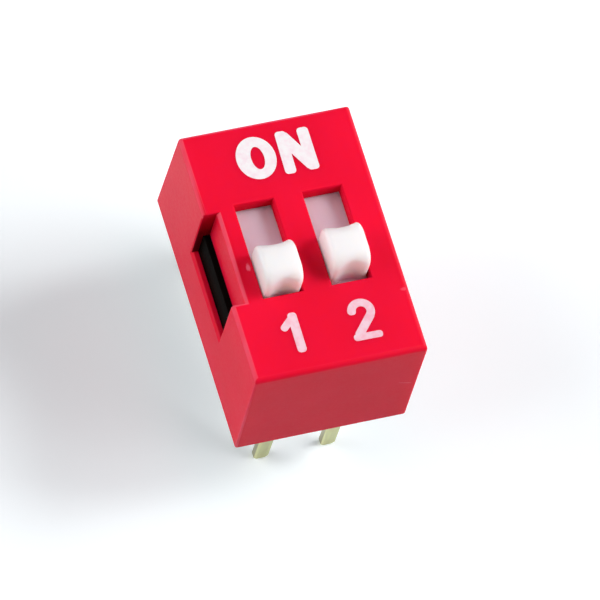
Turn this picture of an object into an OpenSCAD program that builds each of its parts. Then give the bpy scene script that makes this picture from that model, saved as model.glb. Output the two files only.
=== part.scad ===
// Two-position slide DIP switch for through-hole boards.
// Millimetres. Z up from the pin tips, +Y towards ON, +X from position 1 to position 2.

/* [Cover] */
// Width across the two positions
cover_w = 6.4; // [6.3:0.05:6.6]
// Length at the lower rim
cover_l = 10.1; // [9.95:0.05:10.5]
// Height from the lower rim to the top face
cover_h = 5.15; // [5.1:0.01:5.3]
// Lean of each end wall over the full height
end_draft = 0.155; // [0:0.005:0.2]
// Side wall thickness
side_t = 0.27; // [0.25:0.01:0.35]
// End wall thickness
end_t = 0.5; // [0.4:0.01:0.55]
// Top plate thickness
top_t = 0.55; // [0.45:0.01:0.58]
// Rounding of the top edges
edge_r = 0.12; // [0.04:0.01:0.2]
// Rounding of the upright corners
corner_r = 0.18; // [0.05:0.01:0.3]

/* [Windows and notch] */
// Distance between the two positions
pitch = 2.54; // [2.5:0.01:2.56]
// Window width
window_w = 1.45; // [1.42:0.01:1.5]
// Window length
window_l = 3.7; // [3.5:0.05:3.75]
// Middle of the windows along Y
window_y = 0.06; // [-0.1:0.01:0.1]
// Length of the notch in the left wall
notch_l = 3.56; // [2.5:0.02:4]
// Middle of the notch along Y
notch_y = -0.03; // [-0.2:0.01:0.2]
// Depth of the notch below the top face
notch_depth = 2.9; // [2:0.05:3]
// How far the notch reaches in from the left face
notch_in = 0.52; // [0.4:0.01:0.6]
// Chamfer round the windows and the notch
lip = 0.06; // [0.02:0.01:0.08]

/* [Sliders] */
// Knob width
knob_w = 1.39; // [1.3:0.01:1.4]
// Knob length
knob_l = 1.73; // [1.6:0.01:1.8]
// Height of the knob above the top face
knob_rise = 1.08; // [0.8:0.01:1.3]
// Rounding of the knob's front and back top edges
knob_end_r = 0.6; // [0.3:0.01:0.7]
// Rounding of the knob's side top edges
knob_side_r = 0.16; // [0.08:0.01:0.3]
// Radius of the thumb scallops
scallop_r = 1.2; // [1:0.01:1.3]
// Depth of the thumb scallops
scallop_depth = 0.15; // [0.1:0.01:0.18]
// How far slider 2 stands off its OFF stop
slider_2_shift = 0.15; // [0:0.01:0.3]

/* [Terminals] */
// Distance between the two pin rows
row_gap = 7.62; // [7.6:0.01:7.64]
// Pin length below the lower rim
pin_l = 4.0; // [3:0.1:4.5]
// Pin width
pin_w = 0.56; // [0.45:0.01:0.65]
// Sheet thickness of the terminals
strip_t = 0.25; // [0.2:0.01:0.28]

/* [Hidden] */

$fn = 48;
over = 0.5;   // how far a cutter reaches past the face that it opens
sink = 0.1;   // how far two shapes of one moulding reach into each other
gap = 0.03;   // running clearance

// Levels
rim_z = pin_l;
top_z = rim_z + cover_h;
roof_z = top_z - top_t;
rib_z = top_z - 1.68;
base_top_z = rib_z - gap;
pad_z = rim_z + 2.1;
base_z = rim_z + 0.75;
seal_z = rim_z + 0.2;

// Inside of the cover
draft_a = atan(end_draft / cover_h);
inner_w = cover_w - 2 * side_t;
channel_w = 2.0;
channel_l = 6.3;

// Snap barbs on the base's ends
barb_w = 1.1;
barb_x = 1.3;
barb_z = rim_z + 1.65;
barb_h = 0.6;
barb_reach = 0.15;

// Travel, with the knob clear of both window ends
travel = window_l - knob_l - 2 * gap;
off_y = window_y - travel / 2;

// Slider
plate_w = channel_w - 2 * gap;
plate_l = knob_l + 2 * (travel + 0.15);
plate_t = 0.5;
plate_z = roof_z - gap - plate_t;
plate_corner_r = 0.2;
knob_corner_r = 0.16;
block_w = 1.6;
block_l = 4.0;
block_z = pad_z + 0.65;
pocket_w = 1.1;
pocket_l = 3.6;
pocket_roof_z = plate_z - 0.15;
boss_d = 0.4;
boss_h = 0.2;

// Contact spring: a flat crown, two legs and two turned-up feet
spring_t = 0.09;
spring_w = 1.0;
crown_l = 0.9;
crown_r = 0.2;
foot_r = 0.22;
leg_a = 65;
toe_a = 50;
slit_w = 0.2;
crown_z = pocket_roof_z - spring_t / 2;
foot_z = pad_z + 0.01 + spring_t / 2;
bend_drop = (crown_r + foot_r) * (1 - cos(leg_a));
leg_l = (crown_z - foot_z - bend_drop) / sin(leg_a);
knee_y = crown_l / 2 + crown_r * sin(leg_a);
knee_z = crown_z - crown_r * (1 - cos(leg_a));
foot_y = knee_y + leg_l * cos(leg_a) + foot_r * sin(leg_a);

// Terminals
pad_w = 1.1;
bend_r = 0.3;
shoulder_z = base_z + 0.35;
tip_chamfer = 0.12;
off_pad_end = 0.0;   // where the OFF-side pads end
on_pad_end = 0.95;   // where the ON-side pads begin

// Half length of the leaning outline at height z, moved in by inset
function end_y(z, inset = 0) = cover_l / 2 - inset / cos(draft_a) - (z - rim_z) * tan(draft_a);

// Extrudes a profile drawn in Y and Z along X
module along_x(w) {
    rotate([90, 0, 90])
        linear_extrude(w, center = true)
            children();
}

// Extrudes a profile drawn in X and Z along Y
module along_y(l) {
    rotate([90, 0, 0])
        linear_extrude(l, center = true)
            children();
}

// Repeats its children at both positions
module each_position() {
    for (side = [-1, 1])
        translate([side * pitch / 2, 0, 0])
            children();
}

// Outline from z0 to z1 with its two upper corners rounded
module round_top(w, z0, z1, r) {
    translate([-w / 2, z0])
        square([w, z1 - z0 - r]);
    translate([r - w / 2, z0])
        square([w - 2 * r, z1 - z0]);
    for (side = [-1, 1])
        translate([side * (w / 2 - r), z1 - r])
            circle(r);
}

// Rectangle with four rounded corners
module round_rect(w, l, r) {
    square([w - 2 * r, l], center = true);
    square([w, l - 2 * r], center = true);
    for (sx = [-1, 1], sy = [-1, 1])
        translate([sx * (w / 2 - r), sy * (l / 2 - r)])
            circle(r);
}

// Upright block with rounded corners in plan
module round_block(w, l, r, z0, z1) {
    translate([0, 0, z0])
        linear_extrude(z1 - z0)
            round_rect(w, l, r);
}

// Block whose ends lean like the cover's, moved in by inset
module leaning_block(w, z0, z1, inset) {
    along_x(w)
        polygon([
            [-end_y(z0, inset), z0], [end_y(z0, inset), z0],
            [end_y(z1, inset), z1], [-end_y(z1, inset), z1]
        ]);
}

// Side view of the cover: leaning ends and rounded upper corners
module end_profile() {
    round_z = top_z - edge_r;
    round_y = end_y(round_z, edge_r);
    side_y = round_y + edge_r * cos(draft_a);
    side_z = round_z + edge_r * sin(draft_a);
    polygon([
        [-end_y(rim_z), rim_z], [end_y(rim_z), rim_z],
        [side_y, side_z], [round_y, top_z],
        [-round_y, top_z], [-side_y, side_z]
    ]);
    for (side = [-1, 1])
        translate([side * round_y, round_z])
            circle(edge_r);
}

// Takes the sharp upright corners off the leaning ends
module corner_cutters() {
    for (sx = [-1, 1], sy = [-1, 1])
        translate([sx * (cover_w / 2 - corner_r), sy * end_y(rim_z, corner_r), rim_z])
            rotate([sy * draft_a, 0, 0])
                difference() {
                    translate([sx * over / 2, sy * over / 2, cover_h / 2])
                        cube([over, over, cover_h + 2 * over], center = true);
                    translate([0, 0, -2 * over])
                        cylinder(h = cover_h + 4 * over, r = corner_r);
                }
}

// Mouth of a w by l opening, cut at 45 degrees into the plane z = 0
module mouth(w, l) {
    flare = 2 * lip;
    intersection() {
        along_y(l + 2 * over)
            polygon([[-w / 2, -lip], [w / 2, -lip], [w / 2 + flare, lip], [-w / 2 - flare, lip]]);
        along_x(w + 2 * over)
            polygon([[-l / 2, -lip], [l / 2, -lip], [l / 2 + flare, lip], [-l / 2 - flare, lip]]);
    }
}

// Opening over one slider
module window_cutter() {
    translate([0, window_y, 0]) {
        translate([-window_w / 2, -window_l / 2, roof_z - over])
            cube([window_w, window_l, top_t + 2 * over]);
        translate([0, 0, top_z])
            mouth(window_w, window_l);
    }
}

// Notch in the left face, open to the side and to the top, and to the base below the ribs
module notch_cutter() {
    notch_w = notch_in + over;
    notch_h = notch_depth + over;
    translate([-cover_w / 2, notch_y, top_z]) {
        translate([-over, -notch_l / 2, -notch_depth])
            cube([notch_w, notch_l, notch_h]);
        translate([notch_in - notch_w / 2, 0, 0])
            mouth(notch_w, notch_l);
        translate([0, 0, notch_h / 2 - notch_depth])
            rotate([0, -90, 0])
                mouth(notch_h, notch_l);
    }
}

// Profile of the snap barbs, grown by room for their pockets
module barb_profile(room) {
    face_y = end_y(barb_z, end_t + gap);
    polygon([
        [face_y - over, barb_z - room], [face_y + barb_reach + room, barb_z - room],
        [face_y + barb_reach + room, barb_z + room], [face_y + room, barb_z + barb_h + room],
        [face_y - over, barb_z + barb_h + room]
    ]);
}

// Two barbs on each end of the base, or the pockets that they snap into
module barbs(room) {
    for (sx = [-1, 1], sy = [0, 1])
        mirror([0, sy, 0])
            translate([sx * barb_x, 0, 0])
                along_x(barb_w + 2 * room)
                    barb_profile(room);
}

module cover() {
    color("crimson")
        difference() {
            intersection() {
                along_x(cover_w)
                    end_profile();
                along_y(cover_l + 2 * over)
                    round_top(cover_w, rim_z, top_z, edge_r);
            }
            corner_cutters();
            leaning_block(inner_w, rim_z - over, rib_z, end_t);
            each_position()
                leaning_block(channel_w, rib_z - over, roof_z, end_t);
            each_position()
                window_cutter();
            barbs(gap);
            notch_cutter();
        }
}

module base() {
    color([0.07, 0.07, 0.07])
        difference() {
            union() {
                leaning_block(inner_w - 2 * gap, base_z, base_top_z, end_t + gap);
                barbs(0);
            }
            each_position()
                translate([-channel_w / 2, window_y - channel_l / 2, pad_z])
                    cube([channel_w, channel_l, base_top_z - pad_z + over]);
            terminal_set();
        }
}

// Potting that closes the underside round the pins
module seal() {
    color([0.15, 0.12, 0.1])
        difference() {
            leaning_block(inner_w, seal_z, base_z, end_t);
            terminal_set();
        }
}

// Knob with scalloped front and back, standing on the slider plate
module knob() {
    knob_z = top_z + knob_rise;
    intersection() {
        translate([0, 0, plate_z])
            linear_extrude(knob_z - plate_z)
                difference() {
                    round_rect(knob_w, knob_l, knob_corner_r);
                    for (side = [-1, 1])
                        translate([0, side * (knob_l / 2 + scallop_r - scallop_depth)])
                            circle(scallop_r);
                }
        along_x(knob_w)
            round_top(knob_l, plate_z, knob_z, knob_end_r);
        along_y(knob_l)
            round_top(knob_w, plate_z, knob_z, knob_side_r);
    }
}

module slider(x, y) {
    color("white")
        translate([x, y, 0]) {
            knob();
            round_block(plate_w, plate_l, plate_corner_r, plate_z, plate_z + plate_t);
            difference() {
                round_block(block_w, block_l, plate_corner_r, block_z, plate_z + sink);
                round_block(pocket_w, pocket_l, plate_corner_r / 2, block_z - over, pocket_roof_z);
            }
            translate([0, 0, pocket_roof_z - boss_h])
                cylinder(h = boss_h + sink, d = boss_d);
        }
}

// Points along an arc about c, from angle a0 to angle a1
function arc(c, r, a0, a1, steps = 8) =
    [for (i = [0:steps]) c + r * [for (f = [0, 90]) cos(a0 + (a1 - a0) * i / steps - f)]];

// One side of the half spring, offset from its middle line
function spring_side(offset) = concat(
    arc([crown_l / 2, crown_z - crown_r], crown_r + offset, 90, 90 - leg_a),
    arc([foot_y, foot_z + foot_r], foot_r - offset, -90 - leg_a, toe_a - 90)
);

function reversed(points) = [for (i = [len(points) - 1:-1:0]) points[i]];
function mirrored(points) = [for (p = points) [-p.x, p.y]];

// Side view of the spring
module spring_profile() {
    upper = spring_side(spring_t / 2);
    lower = spring_side(-spring_t / 2);
    polygon(concat(upper, reversed(lower), mirrored(lower), reversed(mirrored(upper))));
}

// Bridging spring that rides in the slider's pocket
module contact(x, y) {
    color("goldenrod")
        translate([x, y, 0])
            difference() {
                along_x(spring_w)
                    spring_profile();
                for (side = [0, 1])
                    mirror([0, side, 0])
                        translate([-slit_w / 2, knee_y, foot_z - over])
                            cube([slit_w, plate_l, crown_z - foot_z + 2 * over]);
                translate([0, 0, crown_z - over])
                    cylinder(h = 2 * over, d = boss_d + gap);
            }
}

// Side view of a terminal: pad, bend and pin
module strip_profile(pad_end) {
    bend_y = row_gap / 2 - bend_r;
    bend_z = pad_z - strip_t / 2 - bend_r;
    translate([pad_end, pad_z - strip_t])
        square([bend_y - pad_end, strip_t]);
    translate([bend_y, bend_z])
        intersection() {
            difference() {
                circle(bend_r + strip_t / 2);
                circle(bend_r - strip_t / 2);
            }
            square(2 * bend_r);
        }
    translate([row_gap / 2 - strip_t / 2, 0])
        square([strip_t, bend_z]);
}

// Front view of a terminal: wide strip, shoulders and chamfered pin
module strip_outline() {
    tip_w = pin_w - 2 * tip_chamfer;
    translate([-pad_w / 2, shoulder_z])
        square([pad_w, pad_z - shoulder_z]);
    polygon([
        [-tip_w / 2, 0], [tip_w / 2, 0],
        [pin_w / 2, tip_chamfer], [pin_w / 2, pad_z],
        [-pin_w / 2, pad_z], [-pin_w / 2, tip_chamfer]
    ]);
}

// side is -1 for the OFF row and 1 for the ON row
module terminal(x, side, pad_end) {
    color("darkkhaki")
        translate([x, 0, 0])
            mirror([0, side < 0 ? 1 : 0, 0])
                intersection() {
                    along_x(pad_w)
                        strip_profile(side * pad_end);
                    along_y(cover_l)
                        strip_outline();
                }
}

module terminal_1_off() terminal(-pitch / 2, -1, off_pad_end);
module terminal_1_on() terminal(-pitch / 2, 1, on_pad_end);
module terminal_2_off() terminal(pitch / 2, -1, off_pad_end);
module terminal_2_on() terminal(pitch / 2, 1, on_pad_end);

module terminal_set() {
    terminal_1_off();
    terminal_1_on();
    terminal_2_off();
    terminal_2_on();
}

module slider_1() slider(-pitch / 2, off_y);
module slider_2() slider(pitch / 2, off_y + slider_2_shift);
module contact_1() contact(-pitch / 2, off_y);
module contact_2() contact(pitch / 2, off_y + slider_2_shift);

cover();
base();
seal();
slider_1();
slider_2();
contact_1();
contact_2();
terminal_1_off();
terminal_1_on();
terminal_2_off();
terminal_2_on();
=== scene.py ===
"""Looks of a two-position slide DIP switch: plastics, gilt pins, marks, camera and lamps."""
import math

import bmesh
import bpy
from mathutils import Matrix, Quaternion, Vector


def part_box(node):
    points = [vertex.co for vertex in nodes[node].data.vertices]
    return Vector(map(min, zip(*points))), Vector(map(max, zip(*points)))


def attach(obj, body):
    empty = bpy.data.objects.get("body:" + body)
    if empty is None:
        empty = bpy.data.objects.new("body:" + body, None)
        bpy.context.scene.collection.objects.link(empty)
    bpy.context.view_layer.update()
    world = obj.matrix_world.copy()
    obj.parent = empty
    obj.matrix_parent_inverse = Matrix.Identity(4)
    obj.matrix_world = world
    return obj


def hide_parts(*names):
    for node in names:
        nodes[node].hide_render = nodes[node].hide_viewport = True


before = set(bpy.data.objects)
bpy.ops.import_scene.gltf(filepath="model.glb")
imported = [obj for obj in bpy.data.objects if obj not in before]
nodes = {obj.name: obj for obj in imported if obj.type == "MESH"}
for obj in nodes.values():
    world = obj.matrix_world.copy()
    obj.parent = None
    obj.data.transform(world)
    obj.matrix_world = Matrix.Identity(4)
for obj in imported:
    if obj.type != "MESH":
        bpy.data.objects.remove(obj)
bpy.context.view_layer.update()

MM = 0.001
scene = bpy.context.scene
main_collection = scene.collection


# ---------------------------------------------------------------- sizes, in millimetres

def node_box(name):
    """Lowest and highest corner of a CAD node, in millimetres."""
    low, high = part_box(name)
    return low / MM, high / MM


# Two places closer than this are the same one
TOUCH = 0.01

# Cover
COVER_LOW, COVER_HIGH = node_box("cover")
COVER_W = COVER_HIGH.x - COVER_LOW.x
RIM_Z = COVER_LOW.z
TOP_Z = COVER_HIGH.z
END_LEAN = 0.155
SIDE_WALL = 0.27
END_WALL = 0.5
ROOF_Z = TOP_Z - 0.55
RIB_Z = TOP_Z - 1.68

# Edges of the cover
CORNER_R = 0.09
SIDE_EDGE_R = 0.17
FRONT_EDGE_R = 0.2
BACK_EDGE_R = 0.12
MOUTH_R = 0.07
NOTCH_EDGE_R = 0.13
NOTCH_SILL_R = 0.16
RIM_R = 0.1

# Openings
PITCH = 2.54
WINDOW_W = 1.45
WINDOW_L = 3.7
WINDOW_Y = 0.06
NOTCH_IN = 0.52
NOTCH_L = 3.56
NOTCH_Y = -0.03
NOTCH_DEPTH = 2.9
CHANNEL_W = 2.0

# How far a cutter reaches past the face that it opens
PAST = 0.5

# Snap pockets in the end walls
POCKET_W = 1.16
POCKET_X = 1.3
POCKET_LOW = RIM_Z + 1.62
POCKET_H = 0.66
POCKET_DEPTH = 0.18

# Knobs
KNOB_W = 1.39
KNOB_L = 1.73
KNOB_END_R = 0.6
KNOB_SIDE_R = 0.16
FRONT_SCALLOP_R = 0.75
FRONT_SCALLOP = 0.17
BACK_SCALLOP_R = 1.0
BACK_SCALLOP = 0.24
SCALLOP_BLEND = 0.02

# Sliders below their knobs
CLEARANCE = 0.03
SINK = 0.1
PLATE_T = 0.5
PLATE_R = 0.2
BLOCK_W = 1.6
BLOCK_L = 4.0
HOLLOW_W = 1.1
HOLLOW_L = 3.6
HOLLOW_CORNER_R = 0.1
HOLLOW_ROOF = 0.15
BOSS_D = 0.4
BOSS_H = 0.2

# Terminals and potting
ROW_GAP = 7.62
PIN_W = 0.56
STRIP_T = 0.25
BASE_EDGE_R = 0.03
STRIP_EDGE_R = 0.02
SEAL_DIP = 0.03
WALL_CREEP = 0.1
PIN_CREEP = 0.14
CREEP_REACH = 0.13

# Printed marks
INK_T = 0.012
INK_SINK = 0.006


def end_y(z, inset=0.0):
    """Half length of the leaning cover at height z, moved in by inset."""
    lean = END_LEAN / (TOP_Z - RIM_Z)
    return COVER_HIGH.y - inset * math.hypot(1, lean) - (z - RIM_Z) * lean


# The cover's edges are rubbed and carry a painted highlight from here outwards, clear of the
# windows and of the notch
WINDOWS_END = 2.2
NOTCH_END = 2.0
WEAR_FADE = 0.2

# Scuffs on the cover: middle, half sizes, turn about Y in degrees, strength
SCRATCH_Z = 6.65
SCUFFS = (
    ((-2.21, -0.52, TOP_Z), (0.09, 0.2, 0.1), 0, 1.0),
    ((3.0, -2.5, TOP_Z), (0.16, 0.07, 0.1), 0, 0.45),
    ((2.76, -end_y(SCRATCH_Z), SCRATCH_Z), (0.36, 0.2, 0.035), 23, 0.4),
)


# ---------------------------------------------------------------- colours, in linear light

RED_DEEP = (0.865, 0.0048, 0.036)
RED_BRIGHT = (0.905, 0.0055, 0.042)
# Paler red for the cover's edges: partly rubbed wear, partly a painted highlight
RED_RUBBED_AND_HIGHLIGHT = (1.0, 0.09, 0.155)
RED_SCUFFED = (1.0, 0.16, 0.25)
# Painted shade deep inside the openings
RED_PAINTED_SHADE = (0.02, 0.001, 0.002)

BLACK_DEEP = (0.0016, 0.0012, 0.0008)
BLACK_BRIGHT = (0.0032, 0.0025, 0.0019)
BLACK_RUBBED = (0.02, 0.018, 0.017)

RESIN_DEEP = (0.026, 0.023, 0.021)
RESIN_BRIGHT = (0.045, 0.039, 0.034)
RESIN_BUBBLE = (0.1, 0.09, 0.08)

WHITE_DEEP = (0.94, 0.955, 0.955)
WHITE_BRIGHT = (0.96, 0.975, 0.975)
WHITE_RUBBED = (0.9, 0.89, 0.88)
# Painted red light bounced onto the white lower down inside the cover
WHITE_PAINTED_RED_BOUNCE = (1.0, 0.66, 0.76)

INK_FULL = (0.95, 0.9, 0.92)
INK_WORN = (0.94, 0.78, 0.84)
THIN_INK_FULL = (0.93, 0.63, 0.72)
THIN_INK_WORN = (0.92, 0.48, 0.58)

GILT_DEEP = (0.6, 0.6, 0.3)
GILT_BRIGHT = (0.7, 0.71, 0.38)
GILT_TARNISHED = (0.56, 0.46, 0.2)
GILT_SHEARED = (0.34, 0.31, 0.2)

FLOOR_SEEN = (0.93, 0.98, 1.0)
FLOOR_GLOW = (0.15, 0.168, 0.178)
FLOOR_LIGHTING = (0.4, 0.4, 0.4)
SKY = (0.92, 0.96, 1)


# ---------------------------------------------------------------- mesh tools

def block(low, high):
    """Upright box between two corners."""
    low, high = Vector(low), Vector(high)
    mesh = bmesh.new()
    place = Matrix.Translation((low + high) / 2) @ Matrix.Diagonal((*(high - low), 1))
    bmesh.ops.create_cube(mesh, size=1, matrix=place)
    return mesh


def round_edges(mesh, edges, radius, segments=4):
    """Rounds the given edges of a bmesh."""
    bmesh.ops.bevel(
        mesh, geom=edges, offset=radius, segments=segments,
        affect="EDGES", profile=0.5, material=-1, clamp_overlap=True,
    )


def spans(edge, axis, least=0.1):
    """True for an edge that runs along the axis and is at least that long."""
    first, second = (getattr(vert.co, axis) for vert in edge.verts)
    return abs(first - second) > max(least, 0.95 * edge.calc_length())


def merge_planes(mesh):
    """Joins faces that lie in one plane."""
    bmesh.ops.dissolve_limit(
        mesh, angle_limit=math.radians(0.5), verts=mesh.verts, edges=mesh.edges
    )


def extruded(mesh):
    """Extrudes a whole sheet of faces, and returns the points of its new side."""
    made = bmesh.ops.extrude_face_region(mesh, geom=mesh.faces)["geom"]
    return [item for item in made if isinstance(item, bmesh.types.BMVert)]


def make_object(name, mesh, scale=1.0):
    """Turns a bmesh into a linked object and frees it."""
    data = bpy.data.meshes.new(name)
    bmesh.ops.scale(mesh, vec=(scale, scale, scale), verts=mesh.verts)
    mesh.to_mesh(data)
    mesh.free()
    made = bpy.data.objects.new(name, data)
    main_collection.objects.link(made)
    return made


def evaluated_mesh(source):
    """The object's mesh with its modifiers applied, as a bmesh."""
    mesh = bmesh.new()
    mesh.from_object(source, bpy.context.evaluated_depsgraph_get())
    return mesh


def combine(body, others, operation):
    """Cuts the other solids out of a body, or unites them with it."""
    tools = bpy.data.collections.new("tools")
    main_collection.children.link(tools)
    made = [make_object("tool", other) for other in others]
    for tool in made:
        main_collection.objects.unlink(tool)
        tools.objects.link(tool)
    base = make_object("base", body)
    modifier = base.modifiers.new("combine", "BOOLEAN")
    modifier.operation = operation
    modifier.solver = "EXACT"
    modifier.operand_type = "COLLECTION"
    modifier.collection = tools
    mesh = evaluated_mesh(base)
    for used in [base, *made]:
        bpy.data.objects.remove(used)
    bpy.data.collections.remove(tools)
    bmesh.ops.remove_doubles(mesh, verts=mesh.verts, dist=0.0005)
    bmesh.ops.recalc_face_normals(mesh, faces=mesh.faces)
    return mesh


def smooth(made, sharp_angle=35):
    """Smooth shading, with edges sharper than the angle kept crisp."""
    made.data.polygons.foreach_set("use_smooth", [True] * len(made.data.polygons))
    made.data.set_sharp_from_angle(angle=math.radians(sharp_angle))


def rounded_by_weight(name, mesh, edge_radius, segments):
    """Rounds every edge by the radius that edge_radius gives it. Returns the finished object."""
    widest = max(edge_radius(edge) for edge in mesh.edges)
    weight = mesh.edges.layers.float.new("bevel_weight_edge")
    for edge in mesh.edges:
        edge[weight] = edge_radius(edge) / widest
    sharp = make_object("sharp", mesh, MM)
    modifier = sharp.modifiers.new("rounding", "BEVEL")
    modifier.limit_method = "WEIGHT"
    modifier.width = widest * MM
    modifier.segments = segments
    modifier.profile = 0.5
    modifier.use_clamp_overlap = False
    made = make_object(name, evaluated_mesh(sharp))
    bpy.data.objects.remove(sharp)
    smooth(made, sharp_angle=30)
    shading = made.modifiers.new("shading", "WEIGHTED_NORMAL")
    shading.mode = "FACE_AREA"
    shading.weight = 90
    shading.keep_sharp = True
    return made


# ---------------------------------------------------------------- materials

def new_material(name, colour, roughness):
    """Material and its Principled shader, with a plain colour and roughness."""
    material = bpy.data.materials.new(name)
    material.use_nodes = True
    shader = material.node_tree.nodes["Principled BSDF"]
    shader.inputs["Base Color"].default_value = (*colour, 1)
    shader.inputs["Roughness"].default_value = roughness
    return material, shader


def add_node(material, kind):
    """New node of a shader kind in the material's tree."""
    return material.node_tree.nodes.new("ShaderNode" + kind)


def feed(material, value, socket):
    """Links a socket to another one, or sets it to a constant."""
    if isinstance(value, bpy.types.NodeSocket):
        material.node_tree.links.new(value, socket)
    else:
        socket.default_value = value


def grain(material, size, stretch=(1, 1, 1), start=(0, 0, 0), detail=2):
    """Noise on the piece's own coordinates, with features about size millimetres across."""
    place = add_node(material, "TexCoord")
    mapping = add_node(material, "Mapping")
    mapping.inputs["Scale"].default_value = [1 / (size * MM * longer) for longer in stretch]
    mapping.inputs["Location"].default_value = start
    feed(material, place.outputs["Object"], mapping.inputs["Vector"])
    noise = add_node(material, "TexNoise")
    noise.inputs["Scale"].default_value = 1
    noise.inputs["Detail"].default_value = detail
    feed(material, mapping.outputs["Vector"], noise.inputs["Vector"])
    return noise.outputs["Fac"]


def ranged(material, value, start, end, low=0.0, high=1.0):
    """A value moved from the range start to end onto low to high, and kept inside it."""
    node = add_node(material, "MapRange")
    feed(material, value, node.inputs["Value"])
    node.inputs["From Min"].default_value = start
    node.inputs["From Max"].default_value = end
    node.inputs["To Min"].default_value = low
    node.inputs["To Max"].default_value = high
    return node.outputs["Result"]


def calculate(material, operation, first, second):
    """Result of a maths operation on two values or sockets."""
    node = add_node(material, "Math")
    node.operation = operation
    feed(material, first, node.inputs[0])
    feed(material, second, node.inputs[1])
    return node.outputs["Value"]


def largest(material, *amounts):
    """The largest of the amounts."""
    most = amounts[0]
    for amount in amounts[1:]:
        most = calculate(material, "MAXIMUM", most, amount)
    return most


def product(material, *amounts):
    """The product of the amounts."""
    total = amounts[0]
    for amount in amounts[1:]:
        total = calculate(material, "MULTIPLY", total, amount)
    return total


def tint(material, amount, plain, changed):
    """Colour that goes from plain to changed as the amount rises."""
    node = add_node(material, "Mix")
    node.data_type = "RGBA"
    feed(material, amount, node.inputs["Factor"])
    for colour, socket in ((plain, node.inputs["A"]), (changed, node.inputs["B"])):
        feed(material, (*colour, 1) if isinstance(colour, tuple) else colour, socket)
    return node.outputs["Result"]


def parts_of(material, coordinate):
    """X, Y and Z of the piece's Object position or of its Normal."""
    place = add_node(material, "TexCoord")
    parts = add_node(material, "SeparateXYZ")
    feed(material, place.outputs[coordinate], parts.inputs["Vector"])
    return parts.outputs


def unsigned(material, value):
    """A value without its sign."""
    return calculate(material, "ABSOLUTE", value, 0)


def across(material, axis, start, end, low=0.0, high=1.0):
    """low to high as the position along an axis goes from start to end, in millimetres."""
    return ranged(material, parts_of(material, "Object")[axis], start * MM, end * MM, low, high)


def beyond(material, axis, start, end):
    """0 to 1 as the distance from the middle plane of an axis goes from start to end."""
    reach = unsigned(material, parts_of(material, "Object")[axis])
    return ranged(material, reach, start * MM, end * MM)


def on_edges(material, full=0.9):
    """1 on the middle of each rounded edge, 0 on the flats beside it."""
    normal = parts_of(material, "Normal")
    most = largest(material, *(unsigned(material, normal[axis]) for axis in ("X", "Y", "Z")))
    return ranged(material, most, 0.998, full)


def spot(material, point, half_size, turn):
    """1 at a point, fading raggedly to 0 at the half size round it. turn is about Y, in degrees."""
    place = add_node(material, "TexCoord")
    mapping = add_node(material, "Mapping")
    mapping.vector_type = "TEXTURE"
    mapping.inputs["Location"].default_value = [part * MM for part in point]
    mapping.inputs["Rotation"].default_value = (0, math.radians(turn), 0)
    mapping.inputs["Scale"].default_value = [part * MM for part in half_size]
    feed(material, place.outputs["Object"], mapping.inputs["Vector"])
    distance = add_node(material, "VectorMath")
    distance.operation = "LENGTH"
    feed(material, mapping.outputs["Vector"], distance.inputs[0])
    torn = grain(material, 0.16, (1, 1.6, 1), (1, 3, 0))
    ragged = ranged(material, torn, 0.3, 0.7, -0.3, 0.3)
    uneven = calculate(material, "ADD", distance.outputs["Value"], ragged)
    return ranged(material, uneven, 1.0, 0.45)


def flow_of(material, size, stretch=(1, 1, 1), detail=2):
    """Soft 0 to 1 change across a moulding or a strip, from its making."""
    return ranged(material, grain(material, size, stretch, detail=detail), 0.35, 0.65)


def roughen(material, shader, fine, low, high):
    """Roughness that goes from low to high with a fine grain."""
    feed(material, ranged(material, fine, 0.3, 0.7, low, high), shader.inputs["Roughness"])


def relief(material, shader, *layers):
    """Bump from pairs of a pattern and its depth in millimetres."""
    normal = None
    for pattern, depth in layers:
        node = add_node(material, "Bump")
        node.inputs["Distance"].default_value = depth * MM
        feed(material, pattern, node.inputs["Height"])
        if normal:
            feed(material, normal, node.inputs["Normal"])
        normal = node.outputs["Normal"]
    feed(material, normal, shader.inputs["Normal"])


def moulded_red(name, gloss, translucent):
    """Red moulding with a slow flow of colour. Returns the material, its shader and its colour."""
    material, shader = new_material(name, RED_BRIGHT, 0.4)
    shader.inputs["Specular IOR Level"].default_value = gloss
    shader.inputs["Subsurface Weight"].default_value = translucent
    shader.inputs["Subsurface Radius"].default_value = (1.0, 0.05, 0.05)
    shader.inputs["Subsurface Scale"].default_value = 0.6 * MM
    colour = tint(material, flow_of(material, 3.2, (1, 1.6, 1)), RED_DEEP, RED_BRIGHT)
    fine = grain(material, 0.09, detail=3)
    roughen(material, shader, fine, 0.36, 0.44)
    relief(material, shader, (grain(material, 1.1), 0.012), (fine, 0.0016))
    return material, shader, colour


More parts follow.
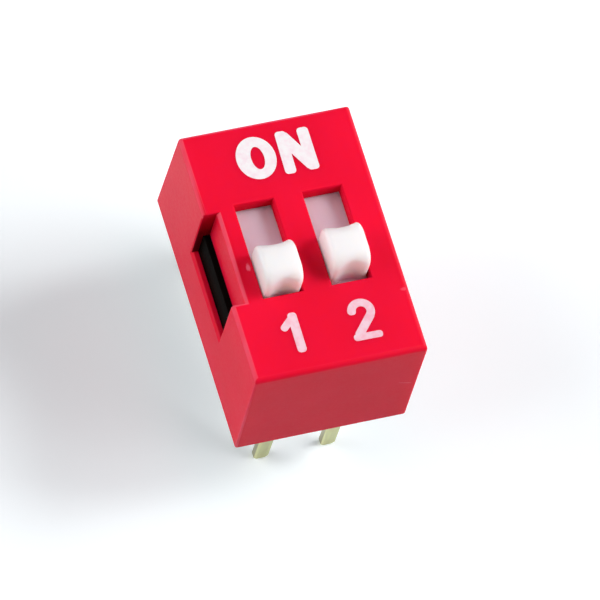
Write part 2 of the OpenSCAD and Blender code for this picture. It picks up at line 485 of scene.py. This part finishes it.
def make_red():
    """Outside of the cover, paler along its outer left edges, partly rubbed wear and partly a
    painted highlight, with a few scuffs.
    """
    material, shader, colour = moulded_red("moulded red", 0.078, 0.5)
    normal = parts_of(material, "Normal")
    off_front_edge = ranged(material, product(material, normal["Y"], normal["Z"]), -0.2, -0.02)
    off_windows = largest(
        material,
        beyond(material, "X", WINDOWS_END, WINDOWS_END + WEAR_FADE),
        beyond(material, "Y", WINDOWS_END, WINDOWS_END + WEAR_FADE),
    )
    # The notch's own edges, between the top and the rim, keep their colour
    off_notch = largest(
        material,
        beyond(material, "Y", NOTCH_END, NOTCH_END + WEAR_FADE),
        across(material, "Z", TOP_Z - 0.35, TOP_Z - 0.2),
        across(material, "Z", RIM_Z + 0.5, RIM_Z + 0.3),
    )
    patchy = ranged(material, grain(material, 0.8, start=(4, 1, 2)), 0.35, 0.6, 0.75, 1)
    # Painted highlight mixed with rubbing along the rounded edges, full on the left and faint on
    # the right side
    on_left = across(material, "X", 2.6, 2.2, 0.15, 1)
    edge_tint = product(
        material, on_edges(material, 0.96), patchy, on_left, off_front_edge, off_windows, off_notch
    )
    colour = tint(material, edge_tint, colour, RED_RUBBED_AND_HIGHLIGHT)
    for point, half_size, turn, strength in SCUFFS:
        scuff = product(material, spot(material, point, half_size, turn), strength)
        colour = tint(material, scuff, colour, RED_SCUFFED)
    feed(material, colour, shader.inputs["Base Color"])
    return material


def make_red_painted_shade():
    """Walls of the openings, with painted shade that darkens them the deeper they go."""
    material, shader, colour = moulded_red("moulded red with painted shade in the openings", 0.01, 0.1)
    # Painted shade, light at the top edge and dark 1.4 mm down
    painted_depth_shade = across(material, "Z", TOP_Z, TOP_Z - 1.4, 0.12, 0.8)
    colour = tint(material, painted_depth_shade, colour, RED_PAINTED_SHADE)
    feed(material, colour, shader.inputs["Base Color"])
    return material


def make_black():
    """Dull moulded black, greyer along its edges."""
    material, shader = new_material("moulded black", BLACK_BRIGHT, 0.55)
    shader.inputs["Specular IOR Level"].default_value = 0.015
    colour = tint(material, flow_of(material, 1.6), BLACK_DEEP, BLACK_BRIGHT)
    patchy = ranged(material, grain(material, 0.5), 0.4, 0.6, 0, 0.4)
    edge_tint = product(material, on_edges(material), patchy)
    colour = tint(material, edge_tint, colour, BLACK_RUBBED)
    feed(material, colour, shader.inputs["Base Color"])
    fine = grain(material, 0.08, detail=3)
    roughen(material, shader, fine, 0.48, 0.64)
    relief(material, shader, (fine, 0.003))
    return material


def make_resin():
    """Cured dark resin with a slow ripple and pinprick bubbles."""
    material, shader = new_material("potting resin", RESIN_BRIGHT, 0.2)
    flow = flow_of(material, 1.2)
    colour = tint(material, flow, RESIN_DEEP, RESIN_BRIGHT)
    bubbles = ranged(material, grain(material, 0.16, start=(2, 5, 1)), 0.7, 0.76)
    colour = tint(material, bubbles, colour, RESIN_BUBBLE)
    feed(material, colour, shader.inputs["Base Color"])
    feed(material, ranged(material, flow, 0, 1, 0.16, 0.3), shader.inputs["Roughness"])
    relief(material, shader, (grain(material, 0.9, start=(1, 1, 1)), 0.03), (bubbles, 0.01))
    return material


def make_white():
    """Translucent white, a touch greyer where thumbs rub its edges, with painted red bounce light
    lower down inside the red cover.
    """
    material, shader = new_material("slider white", WHITE_BRIGHT, 0.4)
    shader.inputs["Specular IOR Level"].default_value = 0.3
    shader.inputs["Subsurface Weight"].default_value = 1.0
    shader.inputs["Subsurface Radius"].default_value = (1.0, 0.9, 0.8)
    shader.inputs["Subsurface Scale"].default_value = 1.0 * MM
    colour = tint(material, flow_of(material, 1.4), WHITE_DEEP, WHITE_BRIGHT)
    patchy = ranged(material, grain(material, 0.4), 0.5, 0.7, 0, 0.5)
    edge_tint = product(material, on_edges(material, 0.7), patchy)
    colour = tint(material, edge_tint, colour, WHITE_RUBBED)
    # Painted red bounce light, growing from the top face down to the windows' roof
    colour = tint(material, across(material, "Z", TOP_Z, ROOF_Z), colour, WHITE_PAINTED_RED_BOUNCE)
    feed(material, colour, shader.inputs["Base Color"])
    fine = grain(material, 0.07, detail=3)
    roughen(material, shader, fine, 0.36, 0.46)
    relief(material, shader, (grain(material, 0.6), 0.004), (fine, 0.0012))
    return material


def make_ink(name, full, worn, covered_from):
    """Printed white ink, with the red below it showing where it is worn."""
    material, shader = new_material(name, full, 0.5)
    shader.inputs["Specular IOR Level"].default_value = 0.3
    coverage = ranged(material, grain(material, 0.22, detail=3), covered_from, 0.6)
    feed(material, tint(material, coverage, worn, full), shader.inputs["Base Color"])
    fine = grain(material, 0.06)
    roughen(material, shader, fine, 0.42, 0.58)
    relief(material, shader, (fine, 0.002))
    return material


def make_gilt():
    """Olive gilt on stamped strip, drawn along its length, duller on the sheared sides."""
    material, shader = new_material("gilt strip", GILT_BRIGHT, 0.35)
    shader.inputs["Metallic"].default_value = 1.0
    drawn = flow_of(material, 0.06, (1, 12, 12), detail=3)
    colour = tint(material, drawn, GILT_DEEP, GILT_BRIGHT)
    blotch = ranged(material, grain(material, 0.9, start=(3, 0, 6)), 0.45, 0.7, 0, 0.6)
    colour = tint(material, blotch, colour, GILT_TARNISHED)
    sideways = unsigned(material, parts_of(material, "Normal")["X"])
    colour = tint(material, ranged(material, sideways, 0.7, 0.95, 0, 0.7), colour, GILT_SHEARED)
    feed(material, colour, shader.inputs["Base Color"])
    feed(material, ranged(material, drawn, 0, 1, 0.3, 0.42), shader.inputs["Roughness"])
    relief(material, shader, (drawn, 0.0015))
    return material


red = make_red()
red_painted_shade = make_red_painted_shade()
black = make_black()
resin = make_resin()
white = make_white()
ink = make_ink("white ink", INK_FULL, INK_WORN, 0.3)
thin_ink = make_ink("thin white ink", THIN_INK_FULL, THIN_INK_WORN, 0.35)
gilt = make_gilt()


def paint(made, *materials):
    """Gives a piece its materials, in the order of their indices."""
    for material in materials:
        made.data.materials.append(material)


# ---------------------------------------------------------------- cover

def leaning_block(width, low_z, high_z, inset=0.0, x=0.0):
    """Block whose ends lean like the cover's."""
    mesh = bmesh.new()
    bmesh.ops.create_cube(mesh, size=1)
    for vert in mesh.verts:
        z = high_z if vert.co.z > 0 else low_z
        to_side = math.copysign(width / 2, vert.co.x)
        to_end = math.copysign(end_y(z, inset), vert.co.y)
        vert.co = (x + to_side, to_end, z)
    return mesh


def snap_pocket(side_x, side_y):
    """Wedge-shaped pocket for one of the base's barbs."""
    inner_y = end_y(POCKET_LOW, END_WALL) - PAST
    outer_y = end_y(POCKET_LOW, END_WALL) + POCKET_DEPTH
    mesh = block(
        (POCKET_X - POCKET_W / 2, inner_y, POCKET_LOW),
        (POCKET_X + POCKET_W / 2, outer_y, POCKET_LOW + POCKET_H),
    )
    for vert in mesh.verts:
        if vert.co.y > outer_y - TOUCH and vert.co.z > POCKET_LOW + TOUCH:
            vert.co.y -= POCKET_DEPTH
    bmesh.ops.scale(mesh, vec=(side_x, side_y, 1), verts=mesh.verts)
    bmesh.ops.recalc_face_normals(mesh, faces=mesh.faces)
    return mesh


def cover_cutters():
    """The solids cut out of the cover: its inside, channels, windows, snap pockets and notch."""
    yield leaning_block(COVER_W - 2 * SIDE_WALL, RIM_Z - PAST, RIB_Z, END_WALL)
    for side in (-1, 1):
        middle = side * PITCH / 2
        yield leaning_block(CHANNEL_W, RIB_Z - PAST, ROOF_Z, END_WALL, middle)
        yield block(
            (middle - WINDOW_W / 2, WINDOW_Y - WINDOW_L / 2, ROOF_Z - PAST),
            (middle + WINDOW_W / 2, WINDOW_Y + WINDOW_L / 2, TOP_Z + PAST),
        )
        yield snap_pocket(side, -1)
        yield snap_pocket(side, 1)
    yield block(
        (COVER_LOW.x - PAST, NOTCH_Y - NOTCH_L / 2, TOP_Z - NOTCH_DEPTH),
        (COVER_LOW.x + NOTCH_IN, NOTCH_Y + NOTCH_L / 2, TOP_Z + PAST),
    )


def on_side(point):
    """True for a point of the cover's left or right face."""
    return abs(abs(point.x) - COVER_W / 2) < TOUCH


def on_end(point):
    """True for a point of the cover's leaning front or back face."""
    return abs(abs(point.y) - end_y(point.z)) < TOUCH


def cover_edge_radius(edge):
    """Rounding of each edge of the cover, from where the edge lies."""
    if len(edge.link_faces) != 2 or edge.calc_face_angle() < math.radians(30):
        return 0.0
    points = [vert.co for vert in edge.verts]
    at_top = all(point.z > TOP_Z - TOUCH for point in points)
    at_rim = all(point.z < RIM_Z + TOUCH for point in points)
    along_side = all(on_side(point) for point in points)
    along_end = all(on_end(point) for point in points)
    if along_side and along_end and not (at_top or at_rim):
        return CORNER_R
    if at_top and along_end:
        return FRONT_EDGE_R if points[0].y < 0 else BACK_EDGE_R
    if at_top and along_side:
        return SIDE_EDGE_R
    if at_top:
        return NOTCH_EDGE_R if all(point.x < -PITCH for point in points) else MOUTH_R
    if at_rim:
        return RIM_R if along_side or along_end else 0.0
    if along_side:
        return NOTCH_SILL_R if spans(edge, "y") else MOUTH_R
    return 0.0


def in_opening(face):
    """True for the walls of the windows and for the inner faces that look along Y."""
    if abs(face.normal.z) > 0.5:
        return False
    middle = face.calc_center_median()
    in_window = abs(abs(middle.x) - PITCH / 2) < 0.51 * WINDOW_W and middle.z > ROOF_Z
    is_outside = abs(middle.y) > end_y(middle.z) - 0.1
    return in_window or (abs(face.normal.y) > 0.9 and not is_outside)


def make_cover():
    """Red moulded shell with its windows and notch, every edge rounded."""
    mesh = combine(leaning_block(COVER_W, RIM_Z, TOP_Z), cover_cutters(), "DIFFERENCE")
    merge_planes(mesh)
    # Walls of the openings, and the inner faces that look along Y, take the red with painted shade
    for face in mesh.faces:
        face.material_index = 1 if in_opening(face) else 0
    cover = rounded_by_weight("moulded_cover", mesh, cover_edge_radius, segments=5)
    paint(cover, red, red_painted_shade)
    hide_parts("cover")
    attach(cover, "housing")


make_cover()


# ---------------------------------------------------------------- sliders

def scalloped(point):
    """A point of the knob, drawn in where it stands proud of the thumb scallops."""
    in_front = point.y < 0
    depth = FRONT_SCALLOP if in_front else BACK_SCALLOP
    radius = FRONT_SCALLOP_R if in_front else BACK_SCALLOP_R
    groove = KNOB_L / 2 - depth + point.x ** 2 / (2 * radius)
    reach = abs(point.y)
    if reach < groove - 4 * SCALLOP_BLEND:
        return point
    near = math.exp(-reach / SCALLOP_BLEND) + math.exp(-groove / SCALLOP_BLEND)
    return Vector((point.x, math.copysign(-SCALLOP_BLEND * math.log(near), point.y), point.z))


def make_knob(low_z, high_z):
    """Knob with round front and back edges, softened sides and thumb scallops."""
    mesh = block((-KNOB_W / 2, -KNOB_L / 2, low_z), (KNOB_W / 2, KNOB_L / 2, high_z))
    at_top = [e for e in mesh.edges if all(v.co.z > high_z - TOUCH for v in e.verts)]
    round_edges(mesh, [e for e in at_top if spans(e, "x")], KNOB_END_R, segments=12)
    round_edges(mesh, [e for e in mesh.edges if not spans(e, "x")], KNOB_SIDE_R, segments=5)
    lengthwise = [e for e in mesh.edges if spans(e, "x")]
    bmesh.ops.subdivide_edges(mesh, edges=lengthwise, cuts=28, use_grid_fill=True)
    uprights = [e for e in mesh.edges if spans(e, "z")]
    bmesh.ops.subdivide_edges(mesh, edges=uprights, cuts=5, use_grid_fill=True)
    for vert in mesh.verts:
        vert.co = scalloped(vert.co)
    return mesh


def rounded_block(width, length, radius, low_z, high_z):
    """Upright block with round corners in plan, centred on x = y = 0."""
    mesh = block((-width / 2, -length / 2, low_z), (width / 2, length / 2, high_z))
    round_edges(mesh, [e for e in mesh.edges if spans(e, "z")], radius)
    return mesh


def boss(low_z, high_z):
    """Round stub that the spring contact sits on."""
    mesh = bmesh.new()
    bmesh.ops.create_cone(
        mesh, cap_ends=True, segments=32, radius1=BOSS_D / 2, radius2=BOSS_D / 2,
        depth=high_z - low_z, matrix=Matrix.Translation((0, 0, (low_z + high_z) / 2)),
    )
    return mesh


def make_slider(node, body):
    """Knob, plate and hollow block as one moulding, at the CAD slider's place."""
    low, high = node_box(node)
    plate_top = ROOF_Z - CLEARANCE
    plate_low = plate_top - PLATE_T
    hollow_roof = plate_low - HOLLOW_ROOF
    hollow = rounded_block(HOLLOW_W, HOLLOW_L, HOLLOW_CORNER_R, low.z - PAST, hollow_roof)
    carrier = rounded_block(BLOCK_W, BLOCK_L, PLATE_R, low.z, plate_low + SINK)
    carrier = combine(carrier, [hollow], "DIFFERENCE")
    plate = rounded_block(high.x - low.x, high.y - low.y, PLATE_R, plate_low, plate_top)
    knob = make_knob(plate_low + SINK, high.z)
    contact_boss = boss(hollow_roof - BOSS_H, hollow_roof + SINK)
    mesh = combine(plate, [knob, carrier, contact_boss], "UNION")
    bmesh.ops.translate(mesh, vec=((low.x + high.x) / 2, (low.y + high.y) / 2, 0), verts=mesh.verts)
    slider = make_object("moulded_" + node, mesh, MM)
    smooth(slider)
    paint(slider, white)
    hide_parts(node)
    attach(slider, body)


make_slider("slider_1", "slide_1")
make_slider("slider_2", "slide_2")


# ---------------------------------------------------------------- base, metal and potting

def softened_copy(node, name, radius, material, body):
    """Copy of a CAD node with its sharp edges rounded."""
    mesh = bmesh.new()
    mesh.from_mesh(nodes[node].data)
    bmesh.ops.scale(mesh, vec=(1 / MM, 1 / MM, 1 / MM), verts=mesh.verts)
    bmesh.ops.remove_doubles(mesh, verts=mesh.verts, dist=0.001)
    merge_planes(mesh)
    closed = [e for e in mesh.edges if len(e.link_faces) == 2]
    sharp = [e for e in closed if e.calc_face_angle() > math.radians(40)]
    round_edges(mesh, sharp, radius, segments=2)
    copy = make_object(name, mesh, MM)
    smooth(copy)
    paint(copy, material)
    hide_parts(node)
    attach(copy, body)


softened_copy("base", "moulded_base", BASE_EDGE_R, black, "housing")
for row in ("off", "on"):
    for position in ("1", "2"):
        softened_copy(
            f"terminal_{position}_{row}", f"pin_{position}_{row}", STRIP_EDGE_R, gilt,
            "housing",
        )
for position in ("1", "2"):
    softened_copy(
        f"contact_{position}", f"spring_contact_{position}", STRIP_EDGE_R, gilt,
        f"slide_{position}",
    )


def wetted(x, y, half_x, half_y):
    """How far the resin has crept up a wall or a pin at a place of its surface."""
    to_wall = min(half_x - abs(x), half_y - abs(y))
    beside = max(abs(abs(x) - PITCH / 2) - PIN_W / 2, 0)
    before = max(abs(abs(y) - ROW_GAP / 2) - STRIP_T / 2, 0)
    to_pin = math.hypot(beside, before)
    up_wall = WALL_CREEP * math.exp(-to_wall / CREEP_REACH)
    up_pin = PIN_CREEP * math.exp(-to_pin / CREEP_REACH)
    return up_wall + up_pin


def pin_holes(low_z, high_z):
    """The four blocks that cut the pins' holes through the resin."""
    for side in (-1, 1):
        for row in (-1, 1):
            x, y = side * PITCH / 2, row * ROW_GAP / 2
            yield block(
                (x - PIN_W / 2, y - STRIP_T / 2, low_z - PAST),
                (x + PIN_W / 2, y + STRIP_T / 2, high_z + PAST),
            )


def make_seal():
    """Resin fill that closes the underside, drawn up against the walls and the pins."""
    low, high = node_box("seal")
    half_x = high.x
    half_y = end_y(low.z, END_WALL)
    mesh = bmesh.new()
    bmesh.ops.create_grid(mesh, x_segments=96, y_segments=144, size=1)
    bmesh.ops.scale(mesh, vec=(half_x, half_y, 1), verts=mesh.verts)
    for vert in mesh.verts:
        vert.co.z = low.z + SEAL_DIP - wetted(vert.co.x, vert.co.y, half_x, half_y)
    for vert in extruded(mesh):
        vert.co.y *= end_y(high.z, END_WALL) / half_y
        vert.co.z = high.z
    bmesh.ops.recalc_face_normals(mesh, faces=mesh.faces)
    mesh = combine(mesh, pin_holes(low.z, high.z), "DIFFERENCE")
    seal = make_object("potted_seal", mesh, MM)
    smooth(seal)
    paint(seal, resin)
    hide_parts("seal")
    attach(seal, "housing")


make_seal()


# ---------------------------------------------------------------- printed marks

def lay_on_top(mesh, centre, angle=0.0):
    """Turns a shape drawn round the origin and lays it on the top face."""
    turn = Matrix.Rotation(angle, 4, "Z")
    bmesh.ops.transform(mesh, matrix=Matrix.Translation((*centre, TOP_Z)) @ turn, verts=mesh.verts)
    return mesh


def thicken(mesh):
    """Gives a flat sheet of ink its thickness."""
    bmesh.ops.translate(mesh, vec=(0, 0, INK_T + INK_SINK), verts=extruded(mesh))
    bmesh.ops.translate(mesh, vec=(0, 0, -INK_SINK), verts=mesh.verts)
    bmesh.ops.recalc_face_normals(mesh, faces=mesh.faces)


def stroke(start, end, width, corner):
    """Straight bar of ink between two points of the top face."""
    start, end = Vector(start), Vector(end)
    half = (end - start).length / 2
    mesh = block((-half, -width / 2, -INK_SINK), (half, width / 2, INK_T))
    round_edges(mesh, [e for e in mesh.edges if spans(e, "z", INK_T)], corner, segments=5)
    return lay_on_top(mesh, (start + end) / 2, math.atan2(end.y - start.y, end.x - start.x))


def ring(centre, outer, counter, inner):
    """Oval ring of ink: its middle and half sizes, and its counter's middle and half sizes."""
    mesh = bmesh.new()
    offset = Vector(counter) - Vector(centre)
    for half, move in ((outer, (0, 0)), (inner, offset)):
        loop = bmesh.ops.create_circle(mesh, segments=72, radius=1)["verts"]
        bmesh.ops.scale(mesh, vec=(*half, 1), verts=loop)
        bmesh.ops.translate(mesh, vec=(*move, 0), verts=loop)
    bmesh.ops.bridge_loops(mesh, edges=mesh.edges)
    thicken(mesh)
    return lay_on_top(mesh, centre)


def bow(centre, radii, width, start_angle, sweep):
    """Curved stroke of ink round a centre. Its width is a share of its radii."""
    mesh = bmesh.new()
    ends = [mesh.verts.new((1 + side * width / 2, 0, 0)) for side in (-1, 1)]
    edge = mesh.edges.new(ends)
    bmesh.ops.rotate(mesh, matrix=Matrix.Rotation(start_angle, 3, "Z"), verts=mesh.verts)
    bmesh.ops.spin(mesh, geom=[*ends, edge], axis=(0, 0, 1), angle=sweep, steps=32)
    bmesh.ops.scale(mesh, vec=(*radii, 1), verts=mesh.verts)
    thicken(mesh)
    return lay_on_top(mesh, centre)


def make_mark(name, strokes, material):
    """Strokes of ink joined as one printed mark."""
    mesh = combine(strokes[0], strokes[1:], "UNION")
    mark = make_object(name, mesh, MM)
    smooth(mark)
    paint(mark, material)
    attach(mark, "housing")


make_mark("mark_letter_o", [ring((-0.695, 3.55), (0.725, 0.84), (-0.64, 3.54), (0.24, 0.45))], ink)
make_mark("mark_letter_n", [
    stroke((0.375, 2.7), (0.415, 4.39), 0.41, 0.13),
    stroke((1.235, 2.7), (1.235, 4.39), 0.42, 0.13),
    stroke((0.4, 4.27), (1.26, 2.81), 0.46, 0.15),
], ink)
make_mark("mark_digit_1", [
    stroke((-1.225, -4.11), (-1.215, -2.55), 0.33, 0.13),
    stroke((-1.7, -3.16), (-1.19, -2.7), 0.27, 0.12),
], thin_ink)
make_mark("mark_digit_2", [
    bow((1.25, -3.01), (0.345, 0.33), 0.88, math.radians(180), math.radians(-215)),
    stroke((0.91, -2.9), (0.91, -3.1), 0.28, 0.13),
    stroke((1.6, -3.14), (0.86, -3.96), 0.31, 0.12),
    stroke((0.7, -3.98), (1.76, -3.99), 0.26, 0.11),
], thin_ink)


# ---------------------------------------------------------------- camera

VIEW_AZIMUTH = math.radians(-34.28)
VIEW_ELEVATION = math.radians(62.24)
VIEW_ROLL = math.radians(-19.8)
VIEW_DISTANCE = 283.75 * MM
VIEW_LENS = 480
AIM = Vector((0.129, -0.843, 6.172)) * MM


def add_camera():
    """Long lens, above the left front corner, rolled so that the switch leans to the right."""
    data = bpy.data.cameras.new("camera")
    data.lens = VIEW_LENS
    data.sensor_width = 36
    data.clip_start = 0.01
    data.clip_end = 2
    camera = bpy.data.objects.new("camera", data)
    main_collection.objects.link(camera)
    back = Vector((
        math.sin(VIEW_AZIMUTH) * math.cos(VIEW_ELEVATION),
        -math.cos(VIEW_AZIMUTH) * math.cos(VIEW_ELEVATION),
        math.sin(VIEW_ELEVATION),
    ))
    camera.location = AIM + back * VIEW_DISTANCE
    turn = (-back).to_track_quat("-Z", "Y") @ Quaternion((0, 0, 1), -VIEW_ROLL)
    camera.rotation_mode = "QUATERNION"
    camera.rotation_quaternion = turn
    bpy.context.scene.camera = camera


add_camera()


# ---------------------------------------------------------------- floor and light

FLOOR_REACH = 400
SOFTBOX_DISTANCE = 0.3
SKY_LEVEL = 0.03


def floor_material():
    """White to the camera and in reflections, greyer where it throws light back on the switch."""
    material, shader = new_material("floor white", FLOOR_SEEN, 0.8)
    rays = add_node(material, "LightPath").outputs
    seen = largest(
        material, rays["Is Camera Ray"], rays["Is Glossy Ray"], rays["Is Transmission Ray"]
    )
    feed(material, tint(material, seen, FLOOR_LIGHTING, FLOOR_SEEN), shader.inputs["Base Color"])
    feed(material, seen, shader.inputs["Emission Strength"])
    shader.inputs["Emission Color"].default_value = (*FLOOR_GLOW, 1)
    shader.inputs["Specular IOR Level"].default_value = 0
    return material


def add_floor():
    """Plain floor at the height of the pin tips."""
    mesh = bmesh.new()
    bmesh.ops.create_grid(mesh, x_segments=1, y_segments=1, size=FLOOR_REACH)
    floor = make_object("floor", mesh, MM)
    paint(floor, floor_material())


def add_softbox(name, azimuth, elevation, level, size):
    """Round softbox aimed at the switch, azimuth counted from +X.

    level is what it adds to a white surface that faces it.
    """
    data = bpy.data.lights.new(name, "AREA")
    data.shape = "DISK"
    data.size = size
    data.energy = level * (math.pi * SOFTBOX_DISTANCE) ** 2
    lamp = bpy.data.objects.new(name, data)
    main_collection.objects.link(lamp)
    azimuth, elevation = math.radians(azimuth), math.radians(elevation)
    direction = Vector((
        math.cos(azimuth) * math.cos(elevation),
        math.sin(azimuth) * math.cos(elevation),
        math.sin(elevation),
    ))
    lamp.location = AIM + direction * SOFTBOX_DISTANCE
    lamp.rotation_mode = "QUATERNION"
    lamp.rotation_quaternion = (-direction).to_track_quat("-Z", "Y")


add_floor()

# Key on the right, fills round the front, the back and the left, and a touch from above
add_softbox("key", azimuth=0, elevation=45, level=0.67, size=0.15)
add_softbox("front", azimuth=330, elevation=25, level=0.53, size=0.2)
add_softbox("back", azimuth=150, elevation=21, level=0.38, size=0.2)
add_softbox("left", azimuth=176, elevation=34, level=0.39, size=0.2)
add_softbox("top", azimuth=180, elevation=85, level=0.04, size=0.2)

world = bpy.data.worlds.new("studio")
scene.world = world
world.use_nodes = True
background = world.node_tree.nodes["Background"]
background.inputs["Color"].default_value = (*SKY, 1)
background.inputs["Strength"].default_value = SKY_LEVEL
scene.view_settings.view_transform = "Standard"
